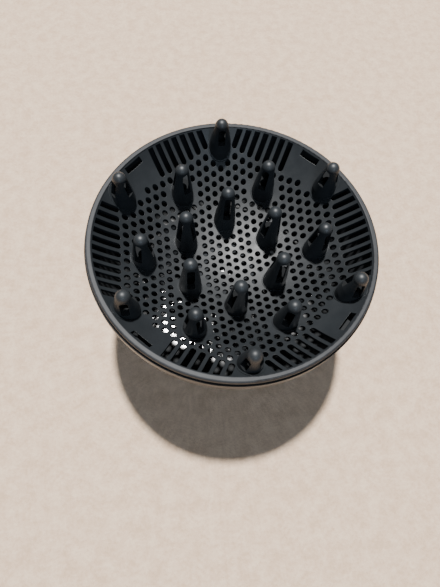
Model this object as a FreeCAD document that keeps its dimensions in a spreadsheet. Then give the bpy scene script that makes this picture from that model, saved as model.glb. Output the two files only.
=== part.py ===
import FreeCAD, Part
import Sketcher
import math
import os

# Push-on hair dryer diffuser: a perforated bowl grille with three rings of
# hollow fingers, closed behind by a flat-backed shell that ends in a round neck.
# Frame: +Z points up and out of the bowl, the Z axis is the axis of the bowl and
# the neck, and the origin is the centre of the flat end of the neck. The straight
# lines of fingers run along +Y. All sizes are millimetres.

os.makedirs("parts", exist_ok=True)
doc = FreeCAD.newDocument("diffuser")
sheet = doc.addObject("Spreadsheet::Sheet", "Sizes")

# (name, value or formula, what it sets). Each number is written once, here.
SIZES = [
    ("overall_dia", "166", "largest diameter, at the flange of the rear shell"),
    ("overall_height", "108", "neck end to the crown of the grille lip"),
    ("bowl_depth", "36", "crown of the lip to the face of the grille at its centre"),
    ("plate_thick", "2", "thickness of the grille plate"),
    ("lip_width", "3.4", "width of the grille lip, seen from the front"),
    ("lip_height", "3.3", "height of the outer wall of the lip"),
    ("lip_drop", "0.8", "crown of the lip to the outer edge of the perforated face"),
    ("lip_round", "1.2", "rounding of the outer edge of the lip"),
    ("lip_inner_round", "0.7", "rounding of the inner edge of the lip"),
    ("flange_step", "1", "how far the flange stands out past the lip"),
    ("part_gap", "0.5", "height of the parting groove between lip and flange"),
    ("groove_depth", "1.2", "depth of the parting groove, from the flange"),
    ("register_depth", "4.2", "length of the grille's spigot inside the flange"),
    ("register_thick", "1.5", "thickness of the grille's spigot"),
    ("fit_gap", "0.1", "radial clearance of parts that fit inside one another"),
    ("hole_dia", "3.5", "diameter of the air holes"),
    ("slot_width", "3.4", "width of the edge slots"),
    ("hole_rings", "13", "hole pitches from the centre to the outer fingers"),
    ("inner_steps", "5.5", "hole pitches from the centre to the inner fingers"),
    ("slot_edge", "0.4", "plate left between a slot and the lip"),
    ("window_width", "12.4", "tangential length of a snap window"),
    ("window_depth", "2.6", "radial size of a snap window"),
    ("window_edge", "0.8", "plate left between a snap window and the lip"),
    ("window_angle", "45", "angle of the snap windows from the X axis"),
    ("tongue_width", "9", "tangential width of a snap tongue"),
    ("tongue_thick", "1.6", "radial thickness of a snap tongue"),
    ("tongue_drop", "13.6", "crown of the lip to the lower end of a snap tongue"),
    ("tooth_height", "1.8", "height of the tooth on a snap tongue"),
    ("tooth_reach", "1.3", "how far the tooth stands out"),
    ("catch_gap", "0.2", "play between a tooth and its catch"),
    ("catch_height", "2", "height of a catch on the rear shell"),
    ("pad_rise", "0.4", "height of the round pad under each finger"),
    ("pad_margin", "0.5", "ring of pad that shows around a finger"),
    ("pad_edge", "0.25", "plate left between an outer pad and the lip"),
    ("foot_radius", "7", "radius of a finger at its foot"),
    ("sill_radius", "6.2", "radius of a finger at its window sills"),
    ("tip_radius", "4", "radius of the domed tip"),
    ("finger_wall", "1.3", "wall thickness of a finger"),
    ("inner_sill", "9.4", "window sills of the inner fingers, above their pads"),
    ("middle_sill", "7.8", "window sills of the middle fingers, above their pads"),
    ("outer_sill", "6.1", "window sills of the outer fingers, above their pads"),
    ("window_top_gap", "4.1", "top of a finger window to the tip"),
    ("arch_width", "4.4", "width of the finger windows"),
    ("inner_height", "32.5", "height of the inner fingers above their pads"),
    ("middle_height", "27", "height of the middle fingers above their pads"),
    ("outer_height", "21", "height of the outer fingers above their pads"),
    ("spigot_radius", "4.1", "radius of the spigot that holds a finger"),
    ("barb_reach", "0.7", "how far the retaining ring stands out past the spigot"),
    ("barb_thick", "1.2", "thickness of the retaining ring below the plate"),
    ("shell_thick", "2.2", "wall of the rear shell"),
    ("flange_height", "6.5", "height of the straight wall under the flange face"),
    ("plenum_depth", "20", "grille plate at its centre to the flat back of the shell"),
    ("corner_inset", "9", "edge of the flat back to the flange, seen from behind"),
    ("flange_round", "10", "rounding where the side wall meets the flange"),
    ("corner_round", "16", "rounding of the edge of the flat back"),
    ("neck_round", "8", "rounding where the neck meets the flat back"),
    ("grip_bore", "22.5", "radius of the bore that grips the nozzle"),
    ("grip_wall", "3.6", "thickness of the elastomer grip ring"),
    ("grip_height", "14", "height of the grip ring"),
    ("grip_chamfer", "1", "chamfer at both ends of its bore"),
    ("rib_groove", "0.8", "radius of the grooves between the ribs in that bore"),
    ("neck_wall", "2.8", "wall of the neck around the grip ring"),
    ("throat_step", "2", "bore of the grip ring to the wall above it"),
    ("seat_ledge", "2.5", "width of the ledge that carries the deflector"),
    ("seat_depth", "3", "depth of that ledge below the flat back"),
    ("collar_floor", "3", "thickness of the retaining collar under the neck"),
    ("collar_wall", "2", "wall of the collar around the neck"),
    ("collar_height", "9", "height of the retaining collar"),
    ("collar_step", "1.7", "bore of the grip ring to the opening of the collar"),
    ("notch_radius", "1.4", "radius of the grip notches around the collar"),
    ("cap_margin", "0.5", "how far the deflector dome covers past the throat"),
    ("cap_rise", "7.5", "rise of the deflector dome"),
    ("cap_thick", "1.6", "thickness of the deflector dome"),
    ("cap_gap", "1.2", "grille plate to the top of the deflector dome"),
    ("leg_width", "3", "thickness of the deflector legs"),
    ("leg_depth", "3.8", "radial depth of the deflector legs"),
    ("leg_sink", "1", "how far a leg runs into the ring and the dome"),
    ("bead_reach", "0.5", "height of the snap bead around the neck"),
    ("bead_width", "1.2", "width of that bead"),
    ("bead_level", "2.8", "collar floor to that bead"),
    ("zero", "0", "height of the flat end of the neck"),
    # sizes worked out from those above
    ("flange_radius", "=overall_dia / 2", ""),
    ("lip_radius", "=flange_radius - flange_step", ""),
    ("face_radius", "=lip_radius - lip_width", ""),
    ("crown_z", "=overall_height", ""),
    ("face_edge_z", "=crown_z - lip_drop", ""),
    ("face_rise", "=bowl_depth - lip_drop", ""),
    ("dish_radius", "=(face_radius * face_radius + face_rise * face_rise) / (2 * face_rise)", ""),
    ("dish_z", "=crown_z - bowl_depth + dish_radius", ""),
    ("back_radius", "=dish_radius + plate_thick", ""),
    ("pad_ball", "=dish_radius - pad_rise", ""),
    ("barb_ball", "=back_radius + barb_thick", ""),
    ("barb_radius", "=spigot_radius + barb_reach", ""),
    ("seat_radius", "=spigot_radius + fit_gap", ""),
    ("pad_radius", "=foot_radius + pad_margin", ""),
    ("outer_ring", "=face_radius - pad_radius - pad_edge", ""),
    ("pitch", "=outer_ring / hole_rings", ""),
    ("inner_ring", "=pitch * inner_steps", ""),
    ("middle_ring", "=inner_ring * sqrt(3)", ""),
    ("inner_seat_z", "=dish_z - sqrt(pad_ball * pad_ball - inner_ring * inner_ring)", ""),
    ("middle_seat_z", "=dish_z - sqrt(pad_ball * pad_ball - middle_ring * middle_ring)", ""),
    ("outer_seat_z", "=dish_z - sqrt(pad_ball * pad_ball - outer_ring * outer_ring)", ""),
    ("lip_base_z", "=crown_z - lip_height", ""),
    ("register_radius", "=flange_radius - shell_thick - fit_gap", ""),
    ("register_inner", "=register_radius - register_thick", ""),
    ("register_z", "=lip_base_z - register_depth", ""),
    ("groove_radius", "=flange_radius - groove_depth", ""),
    ("flange_z", "=lip_base_z - part_gap", ""),
    ("flange_inner", "=flange_radius - shell_thick", ""),
    ("flange_low_z", "=flange_z - flange_height", ""),
    ("neck_z", "=collar_floor", ""),
    ("back_z", "=crown_z - bowl_depth - plate_thick - plenum_depth", ""),
    ("back_inner_z", "=back_z + shell_thick", ""),
    ("corner_radius", "=flange_radius - corner_inset", ""),
    ("corner_inner", "=corner_radius - shell_thick * 0.8", ""),
    ("flange_inner_z", "=flange_low_z + shell_thick / 10", ""),
    ("grip_radius", "=grip_bore + grip_wall", ""),
    ("socket_radius", "=grip_radius + fit_gap", ""),
    ("neck_radius", "=socket_radius + neck_wall", ""),
    ("throat_radius", "=grip_bore + throat_step", ""),
    ("collar_bore", "=grip_bore + collar_step", ""),
    ("cap_radius", "=throat_radius + cap_margin", ""),
    ("ledge_radius", "=throat_radius + seat_ledge", ""),
    ("ledge_z", "=back_z - seat_depth", ""),
    ("bead_low_z", "=collar_floor + bead_level", ""),
    ("bead_high_z", "=bead_low_z + bead_width", ""),
    ("bead_radius", "=neck_radius + bead_reach", ""),
    ("bead_groove", "=bead_radius + fit_gap", ""),
    ("groove_low_z", "=bead_low_z - fit_gap", ""),
    ("groove_high_z", "=bead_high_z + fit_gap", ""),
    ("grip_top_z", "=collar_floor + grip_height", ""),
    ("socket_top_z", "=grip_top_z + fit_gap", ""),
    ("grip_low_z", "=collar_floor + grip_chamfer", ""),
    ("grip_high_z", "=grip_top_z - grip_chamfer", ""),
    ("grip_mouth", "=grip_bore + grip_chamfer", ""),
    ("skirt_radius", "=neck_radius + fit_gap", ""),
    ("collar_radius", "=skirt_radius + collar_wall", ""),
    ("base_ring_outer", "=ledge_radius - fit_gap", ""),
    ("base_ring_z", "=ledge_z + seat_depth", ""),
    ("cap_top_z", "=crown_z - bowl_depth - plate_thick - cap_gap", ""),
    ("cap_ball", "=(cap_radius * cap_radius + cap_rise * cap_rise) / (2 * cap_rise)", ""),
    ("cap_ball_inner", "=cap_ball - cap_thick", ""),
    ("cap_ball_z", "=cap_top_z - cap_ball", ""),
    ("cap_edge_z", "=cap_top_z - cap_rise", ""),
]
for row, (name, value, note) in enumerate(SIZES, start=1):
    sheet.set("A%d" % row, name)
    sheet.set("B%d" % row, value)
    sheet.set("C%d" % row, note)
    sheet.setAlias("B%d" % row, name)
doc.recompute()

SAME = 0.001    # two lengths closer than this are the same edge
UP = FreeCAD.Vector(0, 0, 1)
FULL_TURN = 360
SIXTH = 60
INNER_START = 30    # angle of the first finger of the inner and the outer ring
EDGE_ROWS = 5       # slots to each side of the middle of a hexagon edge
SHORT_ROWS = 1      # slots that remain beside a snap window
LEGS = 4
NOTCHES = 24
RIB_GROOVES = 3
CORNER_REACH = 2.1  # hole pitches from an outer finger to the hole left out beside it
RINGS = {"inner": INNER_START, "middle": 0, "outer": INNER_START}
FINGER_WINDOWS = (60, 180, 300)


def size(name):
    """A size from the sheet as a plain number."""
    return float(sheet.get(name))


def bind(obj, **formulas):
    """Tie properties of an object to the sheet; a dot in a property is written __."""
    for prop, formula in formulas.items():
        obj.setExpression(prop.replace("__", "."), formula)


def primitive(kind, name, **formulas):
    """A Part primitive whose sizes and position follow the sheet."""
    obj = doc.addObject("Part::" + kind, name)
    bind(obj, **formulas)
    return obj


def combine(kind, name, base, tool):
    """Part::Cut or Part::Common of two objects."""
    obj = doc.addObject("Part::" + kind, name)
    obj.Base = base
    obj.Tool = tool
    return obj


def fuse(name, shapes):
    """One solid from several touching ones."""
    obj = doc.addObject("Part::MultiFuse", name)
    obj.Shapes = shapes
    return obj


def origin_plane(body, role):
    """One of a body's own origin planes, found by its role."""
    for feature in body.Origin.OriginFeatures:
        if feature.Role == role:
            return feature
    raise ValueError("no plane " + role)


def turned_body(name, corners):
    """A body turned about Z from a closed outline of (radius size, height size)."""
    body = doc.addObject("PartDesign::Body", name)
    outline = body.newObject("Sketcher::SketchObject", name + "_outline")
    outline.AttachmentSupport = (origin_plane(body, "XZ_Plane"), [""])
    outline.MapMode = "FlatFace"
    points = [FreeCAD.Vector(size(r), size(z), 0) for r, z in corners]
    count = len(points)
    for k in range(count):
        outline.addGeometry(Part.LineSegment(points[k], points[(k + 1) % count]), False)
    for k in range(count):
        outline.addConstraint(Sketcher.Constraint("Coincident", k, 2, (k + 1) % count, 1))
    for k, (radius_name, height_name) in enumerate(corners):
        across = Sketcher.Constraint("DistanceX", -1, 1, k, 1, points[k].x)
        number = outline.addConstraint(across)
        outline.setExpression("Constraints[%d]" % number, "Sizes." + radius_name)
        up = Sketcher.Constraint("DistanceY", -1, 1, k, 1, points[k].y)
        number = outline.addConstraint(up)
        outline.setExpression("Constraints[%d]" % number, "Sizes." + height_name)
    turn = body.newObject("PartDesign::Revolution", name + "_turn")
    turn.Profile = outline
    turn.ReferenceAxis = (outline, ["V_Axis"])
    turn.Angle = 360
    doc.recompute()
    return body


def rounded(body, edges):
    """Rounds circular edges given as (radius size, height size, rounding formula)."""
    for k, (radius_name, height_name, formula) in enumerate(edges):
        tip = body.Tip
        names = []
        for n, edge in enumerate(tip.Shape.Edges, start=1):
            curve = edge.Curve
            if curve.TypeId != "Part::GeomCircle":
                continue
            radius_off = abs(curve.Radius - size(radius_name))
            height_off = abs(curve.Center.z - size(height_name))
            if max(radius_off, height_off) < SAME:
                names.append("Edge%d" % n)
        fillet = body.newObject("PartDesign::Fillet", "%s_round_%d" % (body.Name, k + 1))
        fillet.Base = (tip, names)
        bind(fillet, Radius=formula)
        doc.recompute()
    return body


def polar(radius, degrees, z=0.0):
    """A point at a radius and an angle about the Z axis."""
    turn = math.radians(degrees)
    return FreeCAD.Vector(radius * math.cos(turn), radius * math.sin(turn), z)


def hole_centres():
    """Centres of the air holes: a triangular grid that fills a hexagon."""
    pitch = size("pitch")
    rings = int(round(size("hole_rings")))
    keep_off = size("pad_radius") + size("hole_dia") / 2
    centres = []
    for i in range(-rings, rings + 1):
        for j in range(-rings, rings + 1):
            ring = max(abs(i), abs(j), abs(i + j))
            if ring > rings:
                continue
            point = polar(pitch * i, INNER_START) + polar(pitch * j, 90)
            if min((point - seat).Length for seat in finger_seats()) < keep_off:
                continue
            if ring == rings and beside_window(point):
                continue
            centres.append(point)
    return centres


def finger_seats():
    """Plan positions of all fingers."""
    seats = []
    for ring, start in RINGS.items():
        for k in range(6):
            seats.append(polar(size(ring + "_ring"), start + SIXTH * k))
    return seats


def window_angles():
    """Angles of the four snap windows, mirrored about both axes."""
    first = size("window_angle")
    return (first, 180 - first, 180 + first, 360 - first)


def beside_window(point):
    """True for the corner of the grid between an outer finger and a snap window."""
    angle = math.degrees(math.atan2(point.y, point.x)) % FULL_TURN
    to_window = min(abs(angle - window) for window in window_angles())
    to_finger = min(abs(angle - INNER_START - SIXTH * k) for k in range(6))
    near = min((point - polar(size("outer_ring"), INNER_START + SIXTH * k)).Length
               for k in range(6)) < CORNER_REACH * size("pitch")
    return near and to_window + to_finger < abs(size("window_angle") - INNER_START) + SAME


def slot_rows(edge_angle):
    """Slot positions along one hexagon edge; those beside a snap window are left out."""
    if edge_angle in (0, 180):
        return range(-EDGE_ROWS, EDGE_ROWS + 1)
    if edge_angle in (60, 240):
        return range(-SHORT_ROWS, EDGE_ROWS + 1)
    return range(-EDGE_ROWS, SHORT_ROWS + 1)


def cut_height():
    """Height of a cutter that passes through the whole bowl, with room to spare."""
    return size("crown_z") - size("back_z") + size("plate_thick")


def column(centre, radius):
    """An upright round cutter through the whole bowl."""
    foot = FreeCAD.Vector(centre.x, centre.y, size("back_z"))
    return Part.makeCylinder(radius, cut_height(), foot)


def slot_cutters():
    """Slots across the hexagon edges: a round inner end, open towards the lip."""
    half = size("slot_width") / 2
    pitch = size("pitch")
    limit = column(FreeCAD.Vector(), size("face_radius") - size("slot_edge"))
    start = (size("hole_rings") + 1) * pitch * math.cos(math.radians(INNER_START))
    cutters = []
    for edge_angle in range(0, FULL_TURN, SIXTH):
        for row in slot_rows(edge_angle):
            box = Part.makeBox(size("face_radius") - start, 2 * half, cut_height())
            box.translate(FreeCAD.Vector(start, row * pitch - half, size("back_z")))
            end = column(FreeCAD.Vector(start, row * pitch, 0), half)
            cutter = box.fuse(end).removeSplitter().common(limit)
            cutter.rotate(FreeCAD.Vector(), UP, edge_angle)
            cutters.extend(cutter.Solids)
    return cutters


def window_cutters():
    """Rectangular snap windows near the lip."""
    outer = size("face_radius") - size("window_edge")
    cutters = []
    for angle in window_angles():
        box = Part.makeBox(size("window_depth"), size("window_width"), cut_height())
        box.translate(FreeCAD.Vector(outer - size("window_depth"), -size("window_width") / 2,
                                     size("back_z")))
        box.rotate(FreeCAD.Vector(), UP, angle)
        cutters.append(box)
    return cutters


def shape_feature(name, shapes):
    """A feature that holds many repeated cutters or bosses, sized from the sheet."""
    feature = doc.addObject("Part::Feature", name)
    feature.Shape = Part.makeCompound(shapes)
    feature.Placement = FreeCAD.Placement()
    return feature


def snap_tongue(angle):
    """One tongue under the plate with its tooth, at the inner side of a window."""
    root = size("face_radius") - size("window_edge") - size("window_depth")
    low = size("crown_z") - size("tongue_drop")
    tongue = Part.makeBox(size("tongue_thick"), size("tongue_width"), size("tongue_drop"))
    tongue.translate(FreeCAD.Vector(root - size("tongue_thick"), -size("tongue_width") / 2, low))
    face = Part.makeSphere(size("dish_radius") + size("plate_thick") / 4,
                           FreeCAD.Vector(0, 0, size("dish_z")))
    tongue = tongue.cut(face)
    tooth = Part.makeBox(size("tooth_reach"), size("tongue_width"), size("tooth_height"))
    tooth.translate(FreeCAD.Vector(root, -size("tongue_width") / 2, low))
    tongue = tongue.fuse(tooth).removeSplitter()
    tongue.rotate(FreeCAD.Vector(), UP, angle)
    return tongue


def snap_catch(angle):
    """One catch block inside the flange of the rear shell."""
    start = size("face_radius") - size("window_edge") - size("window_depth") + size("catch_gap")
    reach = size("flange_inner") + size("shell_thick") / 2 - start
    low = size("crown_z") - size("tongue_drop") + size("tooth_height") + size("catch_gap")
    catch = Part.makeBox(reach, size("tongue_width"), size("catch_height"))
    catch.translate(FreeCAD.Vector(start, -size("tongue_width") / 2, low))
    catch.rotate(FreeCAD.Vector(), UP, angle)
    return catch


def ball(name, radius_name):
    """A ball around the centre of curvature of the grille face."""
    return primitive("Sphere", name, Radius="Sizes." + radius_name,
                     Placement__Base__z="Sizes.dish_z")


def build_grille():
    """The bowl grille: curved plate, lip, pads, perforations and snap tongues."""
    wall = combine("Cut", "plate_shell", ball("plate_back", "back_radius"),
                   ball("plate_face", "dish_radius"))
    limit = primitive("Cylinder", "plate_limit", Radius="Sizes.face_radius + Sizes.lip_width / 2",
                      Height="Sizes.face_edge_z")
    plate = combine("Common", "plate", wall, limit)
    lip = turned_body("lip", [
        ("face_radius", "crown_z"), ("lip_radius", "crown_z"),
        ("lip_radius", "lip_base_z"), ("register_radius", "lip_base_z"),
        ("register_radius", "register_z"), ("register_inner", "register_z"),
        ("register_inner", "lip_base_z"), ("face_radius", "lip_base_z"),
    ])
    rounded(lip, [("lip_radius", "crown_z", "Sizes.lip_round"),
                  ("face_radius", "crown_z", "Sizes.lip_inner_round")])
    posts = shape_feature("pad_posts", [column(seat, size("pad_radius"))
                                        for seat in finger_seats()])
    pad_wall = combine("Cut", "pad_wall", ball("pad_back", "dish_radius"),
                       ball("pad_face", "pad_ball"))
    pads = combine("Common", "pads", posts, pad_wall)
    blank = fuse("grille_blank", [plate, lip, pads])
    holes = [column(centre, size("hole_dia") / 2) for centre in hole_centres()]
    seats = [column(seat, size("seat_radius")) for seat in finger_seats()]
    cutters = shape_feature("perforations", holes + seats + slot_cutters() + window_cutters())
    open_plate = combine("Cut", "grille_open", blank, cutters)
    tongues = shape_feature("snap_tongues", [snap_tongue(angle) for angle in window_angles()])
    return fuse("front_grille", [open_plate, tongues])


def build_finger(ring):
    """One hollow finger of a ring, standing on the pad that lies on the +X axis."""
    seat = "Sizes.%s_seat_z" % ring
    height = "Sizes.%s_height" % ring
    sill = "Sizes.%s_sill" % ring
    neck = "(%s - Sizes.tip_radius)" % height
    at_ring = {"Placement__Base__x": "Sizes.%s_ring" % ring}
    foot = primitive("Cylinder", ring + "_foot", Radius="Sizes.foot_radius",
                     Height="2 * Sizes.foot_radius",
                     Placement__Base__z=seat + " - 2 * Sizes.foot_radius", **at_ring)
    cup = primitive("Cone", ring + "_cup", Radius1="Sizes.foot_radius",
                    Radius2="Sizes.sill_radius", Height=sill,
                    Placement__Base__z=seat, **at_ring)
    stem = primitive("Cone", ring + "_stem", Radius1="Sizes.sill_radius",
                     Radius2="Sizes.tip_radius", Height="%s - %s" % (neck, sill),
                     Placement__Base__z="%s + %s" % (seat, sill), **at_ring)
    tip = primitive("Sphere", ring + "_tip", Radius="Sizes.tip_radius",
                    Placement__Base__z="%s + %s" % (seat, neck), **at_ring)
    outside = fuse(ring + "_outside", [foot, cup, stem, tip])
    above = combine("Common", ring + "_above", outside, ball(ring + "_pad_ball", "pad_ball"))
    rod = primitive("Cylinder", ring + "_rod", Radius="Sizes.spigot_radius",
                    Height="3 * Sizes.foot_radius",
                    Placement__Base__z=seat + " - 2 * Sizes.foot_radius", **at_ring)
    spigot = combine("Common", ring + "_spigot", rod, ball(ring + "_end_ball", "barb_ball"))
    disc = primitive("Cylinder", ring + "_disc", Radius="Sizes.barb_radius",
                     Height="3 * Sizes.foot_radius",
                     Placement__Base__z=seat + " - 2 * Sizes.foot_radius", **at_ring)
    disc_end = combine("Common", ring + "_disc_end", disc,
                       ball(ring + "_disc_ball", "barb_ball"))
    barb = combine("Cut", ring + "_barb", disc_end, ball(ring + "_back_ball", "back_radius"))
    solid = fuse(ring + "_solid", [above, spigot, barb])
    bore = primitive("Cylinder", ring + "_bore", Radius="Sizes.spigot_radius - Sizes.finger_wall",
                     Height="2 * Sizes.foot_radius + %s" % sill,
                     Placement__Base__z=seat + " - 2 * Sizes.foot_radius", **at_ring)
    core = primitive("Cone", ring + "_core", Radius1="Sizes.sill_radius - Sizes.finger_wall",
                     Radius2="Sizes.tip_radius - Sizes.finger_wall",
                     Height="%s - %s" % (neck, sill),
                     Placement__Base__z="%s + %s" % (seat, sill), **at_ring)
    core_end = primitive("Sphere", ring + "_core_end",
                         Radius="Sizes.tip_radius - Sizes.finger_wall",
                         Placement__Base__z="%s + %s" % (seat, neck), **at_ring)
    hollow = fuse(ring + "_hollow", [bore, core, core_end] + finger_windows(ring))
    return combine("Cut", ring + "_finger", solid, hollow)


def finger_windows(ring):
    """Three arched openings between the ribs of a finger."""
    seat = "Sizes.%s_seat_z" % ring
    height = "Sizes.%s_height" % ring
    sill = "Sizes.%s_sill" % ring
    straight = "(%s - %s - Sizes.window_top_gap - Sizes.arch_width / 2)" % (height, sill)
    sill_z = "%s + %s" % (seat, sill)
    parts = []
    for angle in FINGER_WINDOWS:
        turn = math.radians(angle)
        side_x = "Sizes.%s_ring + Sizes.arch_width / 2 * %r" % (ring, math.sin(turn))
        side_y = "-Sizes.arch_width / 2 * %r" % math.cos(turn)
        slab = primitive("Box", "%s_slab_%d" % (ring, angle), Length="Sizes.foot_radius",
                         Width="Sizes.arch_width", Height=straight,
                         Placement__Base__x=side_x, Placement__Base__y=side_y,
                         Placement__Base__z=sill_z)
        bind(slab, Placement__Rotation__Angle="%d deg" % angle)
        arch = primitive("Cylinder", "%s_arch_%d" % (ring, angle), Radius="Sizes.arch_width / 2",
                         Height="Sizes.foot_radius",
                         Placement__Base__x="Sizes.%s_ring" % ring,
                         Placement__Base__z="%s + %s" % (sill_z, straight))
        arch.Placement.Rotation = FreeCAD.Rotation(UP, angle) * FreeCAD.Rotation(
            FreeCAD.Vector(0, 1, 0), 90)
        parts.extend([slab, arch])
    return parts


def place_fingers():
    """Six placed copies of the finger of each ring, each turned with its ring."""
    nodes = []
    for ring, start in RINGS.items():
        model = build_finger(ring)
        for k in range(6):
            copy = doc.addObject("Part::Compound", "finger_%s_%d" % (ring, k + 1))
            copy.Links = [model]
            copy.Placement = FreeCAD.Placement(FreeCAD.Vector(),
                                               FreeCAD.Rotation(UP, start + SIXTH * k))
            nodes.append(copy)
    return nodes


def build_shell():
    """The deep shell behind the grille, with its flange, catches, flat back and neck."""
    casing = turned_body("casing", [
        ("flange_inner", "lip_base_z"), ("groove_radius", "lip_base_z"),
        ("groove_radius", "flange_z"), ("flange_radius", "flange_z"),
        ("flange_radius", "flange_low_z"), ("corner_radius", "back_z"),
        ("neck_radius", "back_z"), ("neck_radius", "bead_high_z"),
        ("bead_radius", "bead_high_z"), ("bead_radius", "bead_low_z"),
        ("neck_radius", "bead_low_z"), ("neck_radius", "neck_z"),
        ("socket_radius", "neck_z"), ("socket_radius", "socket_top_z"),
        ("throat_radius", "socket_top_z"), ("throat_radius", "ledge_z"),
        ("ledge_radius", "ledge_z"), ("ledge_radius", "back_inner_z"),
        ("corner_inner", "back_inner_z"), ("flange_inner", "flange_inner_z"),
    ])
    rounded(casing, [
        ("flange_radius", "flange_z", "Sizes.part_gap"),
        ("flange_radius", "flange_low_z", "Sizes.flange_round"),
        ("corner_radius", "back_z", "Sizes.corner_round"),
        ("neck_radius", "back_z", "Sizes.neck_round"),
        ("flange_inner", "flange_inner_z", "Sizes.flange_round - Sizes.shell_thick"),
        ("corner_inner", "back_inner_z", "Sizes.corner_round - Sizes.shell_thick"),
    ])
    catches = shape_feature("snap_catches", [snap_catch(angle) for angle in window_angles()])
    return fuse("rear_shell", [casing, catches])


def build_deflector():
    """A dome on legs over the neck, on a ring that sits on the ledge."""
    cap = combine("Cut", "cap_shell",
                  primitive("Sphere", "cap_outside", Radius="Sizes.cap_ball",
                            Placement__Base__z="Sizes.cap_ball_z"),
                  primitive("Sphere", "cap_inside", Radius="Sizes.cap_ball_inner",
                            Placement__Base__z="Sizes.cap_ball_z"))
    slab = primitive("Cylinder", "cap_slab", Radius="Sizes.cap_radius",
                     Height="2 * Sizes.cap_rise", Placement__Base__z="Sizes.cap_edge_z")
    dome = combine("Common", "dome", cap, slab)
    ring = turned_body("deflector_ring", [
        ("throat_radius", "ledge_z"), ("base_ring_outer", "ledge_z"),
        ("base_ring_outer", "base_ring_z"), ("throat_radius", "base_ring_z"),
    ])
    legs = shape_feature("deflector_legs", [deflector_leg(FULL_TURN / LEGS * (k + 0.5))
                                            for k in range(LEGS)])
    return fuse("air_deflector", [dome, ring, legs])


def deflector_leg(angle):
    """An upright leg between the ring and the edge of the dome."""
    start = size("base_ring_outer") - size("leg_depth") - size("fit_gap")
    low = size("base_ring_z") - size("leg_sink")
    leg = Part.makeBox(size("leg_depth"), size("leg_width"),
                       size("cap_edge_z") + size("leg_sink") - low)
    leg.translate(FreeCAD.Vector(start, -size("leg_width") / 2, low))
    leg.rotate(FreeCAD.Vector(), UP, angle)
    return leg


def build_grip():
    """The elastomer ring that grips the nozzle of the dryer, ribbed by round grooves."""
    ring = turned_body("grip_blank", [
        ("grip_mouth", "neck_z"), ("grip_radius", "neck_z"),
        ("grip_radius", "grip_top_z"), ("grip_mouth", "grip_top_z"),
        ("grip_bore", "grip_high_z"), ("grip_bore", "grip_low_z"),
    ])
    grooves = [primitive("Torus", "grip_groove_%d" % (k + 1), Radius1="Sizes.grip_bore",
                         Radius2="Sizes.rib_groove",
                         Placement__Base__z="Sizes.collar_floor + Sizes.grip_height * %d / %d"
                         % (k + 1, RIB_GROOVES + 1)) for k in range(RIB_GROOVES)]
    return combine("Cut", "grip_ring", ring, fuse("grip_grooves", grooves))


def build_collar():
    """The ring snapped over the end of the neck, with grip notches around it."""
    ring = turned_body("collar_ring", [
        ("collar_bore", "zero"), ("collar_radius", "zero"),
        ("collar_radius", "collar_height"), ("skirt_radius", "collar_height"),
        ("skirt_radius", "groove_high_z"), ("bead_groove", "groove_high_z"),
        ("bead_groove", "groove_low_z"), ("skirt_radius", "groove_low_z"),
        ("skirt_radius", "neck_z"), ("collar_bore", "neck_z"),
    ])
    reach = size("collar_radius") + size("notch_radius") / 2
    notches = [Part.makeCylinder(size("notch_radius"), size("collar_height"),
                                 polar(reach, FULL_TURN / NOTCHES * k, size("collar_floor")))
               for k in range(NOTCHES)]
    return combine("Cut", "retaining_collar", ring, shape_feature("collar_notches", notches))


def save(node):
    """Checks one finished piece and writes its STEP file."""
    shape = node.Shape
    faults = [state for state in node.State if state in ("Invalid", "Error")]
    if faults or shape.isNull() or not shape.isValid() or not shape.Solids:
        raise RuntimeError("%s is not sound: %s" % (node.Label, faults))
    shape.exportStep("parts/%s.step" % node.Label)
    print(node.Label, len(shape.Solids), round(shape.Volume, 1))


NODES = [build_grille(), build_shell(), build_deflector(), build_grip(), build_collar()]
NODES += place_fingers()
doc.recompute()
for item in doc.Objects:
    if "Invalid" in item.State or "Error" in item.State:
        raise RuntimeError("%s did not build" % item.Name)
for node in NODES:
    node.Label = node.Name
    save(node)
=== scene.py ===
"""Looks of the dryer diffuser: materials for every CAD node, floor, lights and camera."""

import bpy
from mathutils import Matrix, Vector


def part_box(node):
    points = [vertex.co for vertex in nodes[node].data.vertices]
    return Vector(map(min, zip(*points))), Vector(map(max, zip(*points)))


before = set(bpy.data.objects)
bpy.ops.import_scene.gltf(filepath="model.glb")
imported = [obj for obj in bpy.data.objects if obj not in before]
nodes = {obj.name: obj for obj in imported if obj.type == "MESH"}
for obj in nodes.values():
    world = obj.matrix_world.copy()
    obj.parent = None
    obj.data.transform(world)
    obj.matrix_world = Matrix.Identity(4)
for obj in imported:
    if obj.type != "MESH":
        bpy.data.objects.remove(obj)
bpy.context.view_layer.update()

MM = 0.001
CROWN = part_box("front_grille")[1].z         # top of the lip
LIP_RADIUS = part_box("front_grille")[1].x    # outer edge of the lip
LIP_WIDTH = 3.4 * MM
LIP_BLEND = 0.3 * MM                        # half width of the change from plate to lip
FLOOR_TOP = 0.62 * CROWN                    # the shell's inner floor ends below this height
WALL_START = 0.68 * CROWN
POLISHED_TO = 54 * MM                       # radius of the polished part of that floor
DULL_FROM = 62 * MM
SILL_BASE = 84 * MM                         # above the window sills and below the tips:
SILL_RISE = 0.38                            # SILL_BASE + SILL_RISE * distance from the axis
SHELTER_REACH = 5 * MM                      # how near other walls must be for painted shade on a finger's face
FLOOR_HALF = 5.0                            # metres from the axis to the floor's edges
EDGE_EASE = 0.25 * MM                       # rounding that the light sees on sharp edges
SENSOR_WIDTH = 36.0                         # camera, in mm
LENS = 26.74
CAMERA_PLACE = (-36.3, -119.8, 319.0)
CAMERA_RIGHT = (0.99155, -0.10987, 0.06899)
CAMERA_UP = (0.07530, 0.92041, 0.38365)


# ---------------------------------------------------------------- materials

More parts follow.
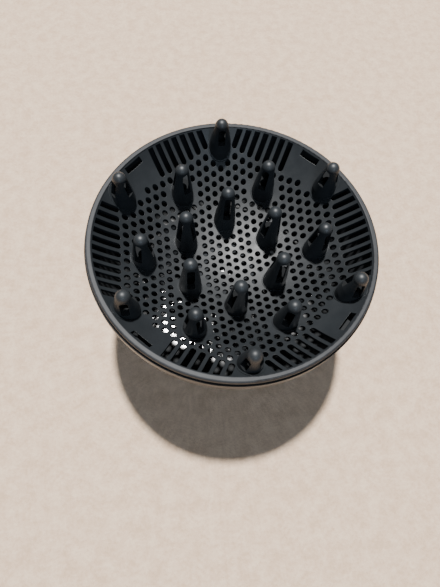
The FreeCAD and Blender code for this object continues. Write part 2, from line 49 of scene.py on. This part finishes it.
class Look:
    """A node material, built up step by step on one Principled shader."""

    def __init__(self, name):
        self.material = bpy.data.materials.new(name)
        self.material.use_nodes = True
        self.tree = self.material.node_tree
        self.tree.nodes.clear()
        output = self.add("ShaderNodeOutputMaterial")
        self.shader = self.add("ShaderNodeBsdfPrincipled")
        self.tree.links.new(self.shader.outputs["BSDF"], output.inputs["Surface"])
        self.place = self.add("ShaderNodeTexCoord").outputs["Object"]
        self.geometry = self.add("ShaderNodeNewGeometry")

    def add(self, kind, inputs=None, **settings):
        node = self.tree.nodes.new(kind)
        for key, value in settings.items():
            setattr(node, key, value)
        for key, value in (inputs or {}).items():
            if isinstance(value, bpy.types.NodeSocket):
                self.tree.links.new(value, node.inputs[key])
            else:
                node.inputs[key].default_value = value
        return node

    def noise(self, size, detail, roughness):
        """Cloudy noise whose features are about size metres wide."""
        settings = {"Vector": self.place, "Scale": 1.0 / size, "Detail": detail,
                    "Roughness": roughness}
        return self.add("ShaderNodeTexNoise", settings).outputs["Fac"]

    def remap(self, source, low, high, start, end, smooth=False):
        """source taken from low..high to start..end."""
        kind = "SMOOTHSTEP" if smooth else "LINEAR"
        settings = {"Value": source, "From Min": low, "From Max": high,
                    "To Min": start, "To Max": end}
        return self.add("ShaderNodeMapRange", settings, interpolation_type=kind).outputs[0]

    def math(self, operation, a, b):
        return self.add("ShaderNodeMath", {0: a, 1: b}, operation=operation).outputs[0]

    def blend(self, factor, first, second):
        """Mixes two numbers: first where factor is 0, second where it is 1."""
        return self.add("ShaderNodeMix", {"Factor": factor, 2: first, 3: second}).outputs[0]

    def colour(self, factor, first, second):
        """Mixes two colours, given as tuples or sockets."""
        pair = {}
        for slot, value in ((6, first), (7, second)):
            pair[slot] = (*value, 1.0) if isinstance(value, tuple) else value
        settings = {"Factor": factor, **pair}
        return self.add("ShaderNodeMix", settings, data_type="RGBA").outputs[2]

    def radius(self):
        """Distance from the Z axis, in metres."""
        flat = self.add("ShaderNodeVectorMath", {0: self.place, 1: (1.0, 1.0, 0.0)},
                        operation="MULTIPLY").outputs[0]
        return self.add("ShaderNodeVectorMath", {0: flat}, operation="LENGTH").outputs["Value"]

    def height(self):
        return self.add("ShaderNodeSeparateXYZ", {0: self.place}).outputs["Z"]

    def facing_up(self):
        normal = self.geometry.outputs["True Normal"]
        return self.add("ShaderNodeSeparateXYZ", {0: normal}).outputs["Z"]

    def sheltered(self, reach):
        """1 on faces closed in by their own part within reach metres, 0 in the open."""
        open_share = self.add("ShaderNodeAmbientOcclusion", {"Distance": reach},
                              samples=4, only_local=True).outputs["AO"]
        return self.remap(open_share, 0.62, 0.92, 1.0, 0.0)

    def soft_edges(self, width):
        """The normal with its sharp edges eased, and a mask that is 1 on those edges."""
        eased = self.add("ShaderNodeBevel", {"Radius": width}, samples=4).outputs["Normal"]
        dot = self.add("ShaderNodeVectorMath",
                       {0: eased, 1: self.geometry.outputs["True Normal"]},
                       operation="DOT_PRODUCT").outputs["Value"]
        return eased, self.remap(dot, 0.80, 0.97, 1.0, 0.0)

    def bumps(self, start, layers):
        """layers: (height socket, metres, strength), from broad to fine."""
        normal = start
        for height, distance, strength in layers:
            settings = {"Height": height, "Distance": distance, "Strength": strength}
            if normal is not None:
                settings["Normal"] = normal
            normal = self.add("ShaderNodeBump", settings).outputs["Normal"]
        self.normal = normal
        self.set("Normal", normal)

    def set(self, name, value):
        if isinstance(value, bpy.types.NodeSocket):
            self.tree.links.new(value, self.shader.inputs[name])
        else:
            self.shader.inputs[name].default_value = value


def moulded(name, dark, light, worn, rough, texture):
    """Moulded plastic: clouded colour, spark texture, uneven gloss, rubbed edges."""
    look = Look(name)
    eased, edges = look.soft_edges(EDGE_EASE)
    cloud = look.noise(32 * MM, 5.0, 0.6)
    streak = look.noise(7 * MM, 4.0, 0.65)
    body = look.colour(look.remap(cloud, 0.35, 0.68, 0.0, 1.0), dark, light)
    rubbed = look.math("MULTIPLY", edges, look.remap(streak, 0.40, 0.62, 0.15, 1.0))
    look.body_colour = look.colour(rubbed, body, worn)
    look.set("Base Color", look.body_colour)
    look.gloss = look.remap(streak, 0.3, 0.7, rough - 0.05, rough + 0.06)
    look.set("Roughness", look.gloss)
    grain = look.noise(0.45 * MM, 3.0, 0.7)
    look.bumps(eased, [(streak, 0.15 * MM, 0.06), (grain, texture, 0.5)])
    return look


def grille_look():
    """Dark textured plate inside a lighter, duller lip."""
    look = moulded("grille_plastic", dark=(0.013, 0.0155, 0.018), light=(0.019, 0.022, 0.025),
                   worn=(0.040, 0.044, 0.048), rough=0.475, texture=0.030 * MM)
    inner = LIP_RADIUS - LIP_WIDTH
    lip = look.remap(look.radius(), inner - LIP_BLEND, inner + LIP_BLEND, 0.0, 1.0, True)
    brushed = look.noise(5 * MM, 4.0, 0.6)
    pale = look.colour(look.remap(brushed, 0.35, 0.65, 0.0, 1.0),
                       (0.017, 0.019, 0.022), (0.026, 0.028, 0.032))
    look.set("Base Color", look.colour(lip, look.body_colour, pale))
    look.set("Roughness", look.blend(lip, look.gloss, 0.58))
    return look.material


def shell_look():
    """Satin shell with a dull finish and painted shade (a darker base colour) on faces that look
    up, and a polished, wavy inner floor.
    """
    look = moulded("shell_plastic", dark=(0.024, 0.026, 0.029), light=(0.034, 0.036, 0.040),
                   worn=(0.065, 0.068, 0.073), rough=0.40, texture=0.020 * MM)
    up = look.remap(look.facing_up(), 0.2, 0.7, 0.0, 1.0)
    low = look.remap(look.height(), FLOOR_TOP, WALL_START, 1.0, 0.0)
    central = look.remap(look.radius(), POLISHED_TO, DULL_FROM, 1.0, 0.0, True)
    inside = look.math("MULTIPLY", look.math("MULTIPLY", up, low), central)
    dull = look.blend(up, look.gloss, 0.85)
    look.set("Roughness", look.blend(inside, dull, 0.07))
    wave = look.noise(3.2 * MM, 2.0, 0.5)
    look.bumps(look.normal, [(wave, 0.30 * MM, look.math("MULTIPLY", inside, 0.55))])
    # Faces that look up get a darker base colour: painted shade that dims the light they catch.
    look.set("Base Color", look.colour(up, look.body_colour, (0.011, 0.0125, 0.014)))
    return look.material


def finger_look():
    """Dark satin fingers, smoother than the plate; window sills and closed-in inner walls are
    dull and get painted shade.
    """
    look = moulded("finger_plastic", dark=(0.018, 0.021, 0.024), light=(0.026, 0.030, 0.034),
                   worn=(0.044, 0.048, 0.052), rough=0.46, texture=0.014 * MM)
    rise = look.math("MULTIPLY", look.radius(), SILL_RISE)
    sill_line = look.math("ADD", rise, SILL_BASE)
    below = look.remap(look.math("SUBTRACT", sill_line, look.height()), 0.0, 1 * MM, 0.0, 1.0)
    sill = look.math("MULTIPLY", below, look.remap(look.facing_up(), 0.90, 0.97, 0.0, 1.0))
    # Sills and faces closed in by nearby walls: dull, and a darker base colour that is painted
    # shade.
    inner = look.math("MAXIMUM", sill, look.sheltered(SHELTER_REACH))
    look.set("Roughness", look.blend(inner, look.gloss, 1.0))
    look.set("Base Color", look.colour(inner, look.body_colour, (0.006, 0.007, 0.008)))
    return look.material


def deflector_look():
    """Smooth dark dome behind the middle of the grille."""
    return moulded("deflector_plastic", dark=(0.030, 0.033, 0.036), light=(0.042, 0.045, 0.049),
                   worn=(0.060, 0.064, 0.068), rough=0.20, texture=0.004 * MM).material


def grip_look():
    """Matt, near-black elastomer."""
    return moulded("grip_rubber", dark=(0.010, 0.010, 0.011), light=(0.018, 0.018, 0.019),
                   worn=(0.030, 0.029, 0.028), rough=0.72, texture=0.040 * MM).material


def collar_look():
    """Dark collar with a coarse texture."""
    return moulded("collar_plastic", dark=(0.018, 0.0195, 0.021), light=(0.027, 0.029, 0.031),
                   worn=(0.060, 0.063, 0.067), rough=0.45, texture=0.045 * MM).material


def dress(names, material):
    """Gives the CAD nodes one material."""
    for name in names:
        mesh = nodes[name].data
        mesh.materials.clear()
        mesh.materials.append(material)


dress(["front_grille"], grille_look())
dress(["rear_shell"], shell_look())
dress(["air_deflector"], deflector_look())
dress(["grip_ring"], grip_look())
dress(["retaining_collar"], collar_look())
dress([name for name in nodes if name.startswith("finger")], finger_look())


# ---------------------------------------------------------------- floor and light

def floor():
    """A plain pale surface with a faint cloudy grain."""
    half = FLOOR_HALF
    mesh = bpy.data.meshes.new("floor")
    corners = [(-half, -half, 0), (half, -half, 0), (half, half, 0), (-half, half, 0)]
    mesh.from_pydata(corners, [], [(0, 1, 2, 3)])
    obj = bpy.data.objects.new("floor", mesh)
    bpy.context.collection.objects.link(obj)
    look = Look("floor_surface")
    mottle = look.noise(9 * MM, 6.0, 0.65)
    fine = look.noise(2.2 * MM, 4.0, 0.7)
    both = look.math("ADD", look.math("MULTIPLY", mottle, 0.6), look.math("MULTIPLY", fine, 0.4))
    look.set("Base Color", look.colour(look.remap(both, 0.40, 0.60, 0.0, 1.0),
                                       (0.73, 0.51, 0.345), (0.91, 0.68, 0.49)))
    look.set("Roughness", 0.85)
    look.bumps(None, [(mottle, 0.8 * MM, 0.4), (fine, 0.7 * MM, 0.8)])
    mesh.materials.append(look.material)


def lamp(name, place, size, power, colour):
    """A round soft light aimed at the bowl."""
    data = bpy.data.lights.new(name, "AREA")
    data.shape = "DISK"
    data.size = size
    data.energy = power
    data.color = colour
    obj = bpy.data.objects.new(name, data)
    bpy.context.collection.objects.link(obj)
    obj.location = place
    aim = Vector((0, 0, 0.7 * CROWN)) - Vector(place)
    obj.rotation_euler = aim.to_track_quat("-Z", "Y").to_euler()


floor()
lamp("key", place=(-0.06, 1.14, 4.0), size=0.24, power=352.0, colour=(1.0, 0.99, 0.97))
lamp("window", place=(0.05, -1.10, 1.00), size=0.8, power=5.0, colour=(0.66, 0.82, 1.0))
world = bpy.data.worlds.new("studio")
world.use_nodes = True
backdrop = world.node_tree.nodes["Background"]
backdrop.inputs["Color"].default_value = (0.76, 0.86, 1.0, 1.0)
backdrop.inputs["Strength"].default_value = 0.10
bpy.context.scene.world = world


# ---------------------------------------------------------------- camera

def camera():
    """Looks down into the bowl from the near left, about 67 degrees above the floor."""
    data = bpy.data.cameras.new("camera")
    data.sensor_width = SENSOR_WIDTH
    data.sensor_fit = "AUTO"
    data.lens = LENS
    obj = bpy.data.objects.new("camera", data)
    bpy.context.collection.objects.link(obj)
    right = Vector(CAMERA_RIGHT).normalized()
    up = Vector(CAMERA_UP)
    up = (up - right * up.dot(right)).normalized()
    turn = Matrix((right, up, right.cross(up))).transposed().to_4x4()
    obj.matrix_world = Matrix.Translation(Vector(CAMERA_PLACE) * MM) @ turn
    bpy.context.scene.camera = obj


camera()
